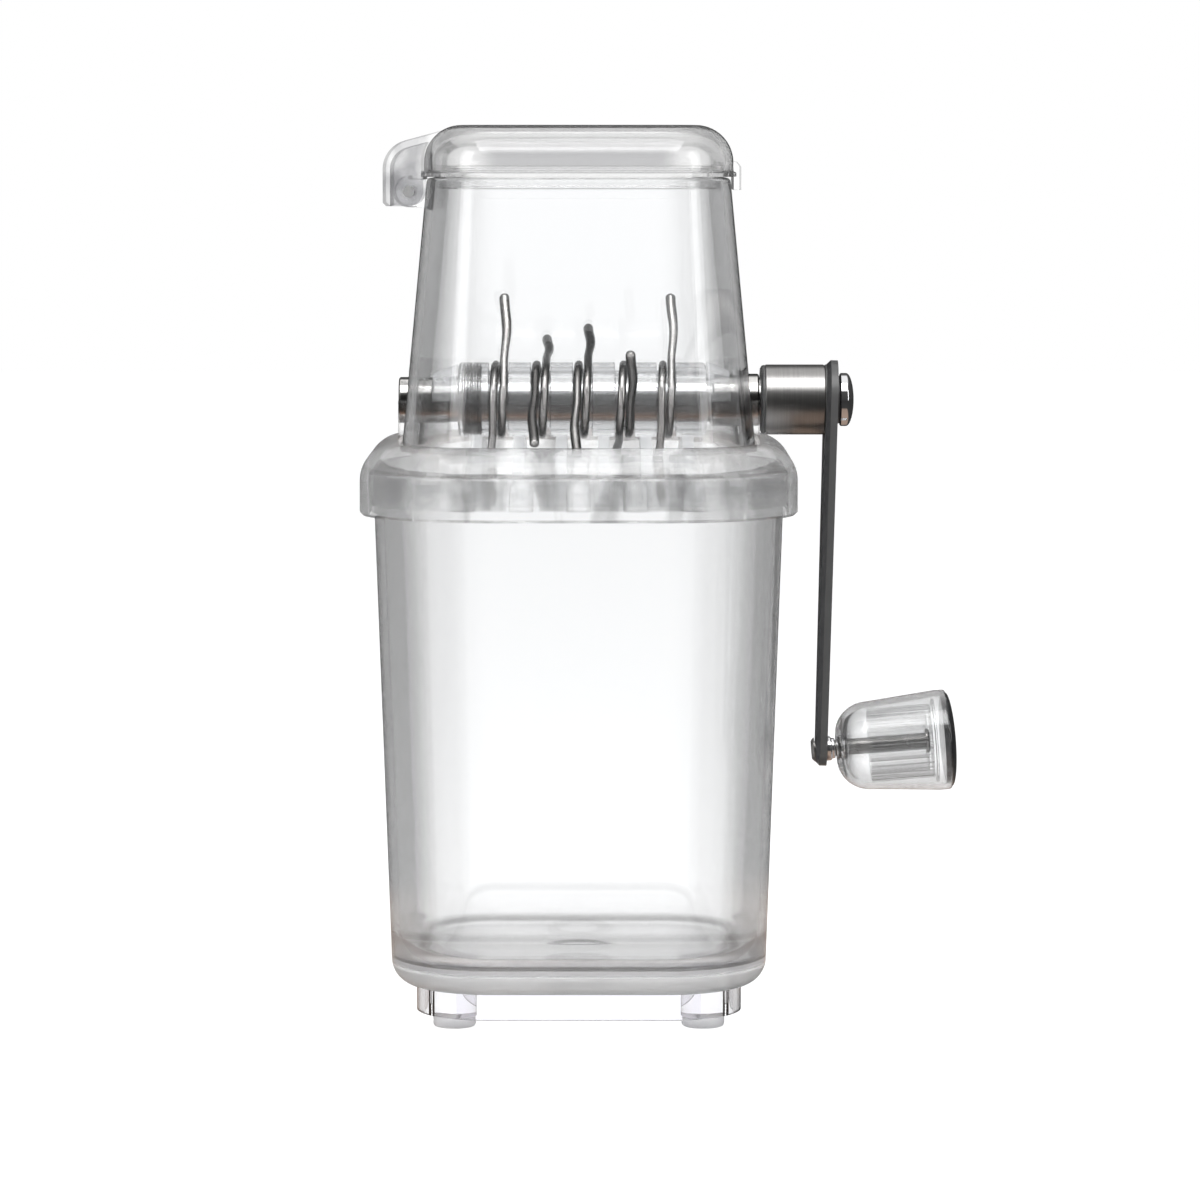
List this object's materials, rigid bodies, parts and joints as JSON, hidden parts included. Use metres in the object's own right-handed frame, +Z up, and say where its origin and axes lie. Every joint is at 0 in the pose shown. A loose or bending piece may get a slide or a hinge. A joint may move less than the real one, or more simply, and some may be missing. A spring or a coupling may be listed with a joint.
{
  "type": "ice crusher",
  "caption": "Hand-cranked ice crusher: clear cup on feet, lift-off head with tapered hopper and hinged lid, and a clear roller with wire tines turned by a crank with a ribbed knob.",
  "frame": {"origin": "on the table under the middle of the whole object's box", "axes": "+Z up, +X from the body towards the crank, +Y away from the viewer"},
  "size_m": [0.1614, 0.12, 0.24],
  "materials": {
    "clear_cup": "clear, polished",
    "clear_base": "clear, polished",
    "soft_pad": "milky, soft",
    "clear_collar": "clear, polished",
    "clear_comb": "clear, polished",
    "clear_hopper": "clear, polished",
    "clear_lid": "clear, polished",
    "bush_steel": "ground",
    "steel": "ground",
    "clear_roller": "clear, polished",
    "wire_steel": "drawn wire",
    "hub_steel": "dark satin",
    "black_steel": "satin black",
    "nut_chrome": "polished",
    "spindle_steel": "dark satin",
    "clear_knob": "clear, polished",
    "cap_black": "gloss black"
  },
  "bodies": {
    "cup": {"cup": "clear_cup", "base_skirt": "clear_base", "foot_pad_front_left": "soft_pad", "foot_pad_front_right": "soft_pad", "foot_pad_rear_left": "soft_pad", "foot_pad_rear_right": "soft_pad"},
    "head": {"collar": "clear_collar", "comb_front": "clear_comb", "comb_rear": "clear_comb", "hopper": "clear_hopper", "bearing_cap_left": "clear_comb", "bearing_cap_right": "clear_comb", "bush_left": "bush_steel", "bush_right": "bush_steel", "lid_hinge_pin": "steel"},
    "lid": {"lid": "clear_lid"},
    "crank": {"shaft": "steel", "roller": "clear_roller", "tine_1": "wire_steel", "tine_2": "wire_steel", "tine_3": "wire_steel", "tine_4": "wire_steel", "tine_5": "wire_steel", "crank_hub": "hub_steel", "hub_set_screw": "black_steel", "crank_arm": "black_steel", "crank_washer": "black_steel", "crank_nut": "nut_chrome", "knob_ferrule": "nut_chrome", "knob_spindle": "spindle_steel"},
    "knob": {"knob_shell": "clear_knob", "knob_core": "clear_knob", "knob_cap": "cap_black"}
  },
  "joints": [
    {"name": "head_lift", "type": "slide", "parent": "cup", "child": "head", "axis": [0, 0, 1], "range_m": [0, 0.04]},
    {"name": "lid_hinge", "type": "hinge", "parent": "head", "child": "lid", "pos_m": [-0.06758, 0, 0.2223], "axis": [0, -1, 0], "range_deg": [0, 90]},
    {"name": "crank_spin", "type": "hinge", "parent": "head", "child": "crank", "pos_m": [-0.02208, 0, 0.1659], "axis": [1, 0, 0], "continuous": true},
    {"name": "knob_spin", "type": "hinge", "parent": "crank", "child": "knob", "pos_m": [0.04549, 0, 0.07055], "axis": [0.9969, 0, 0.0785], "continuous": true}
  ]
}
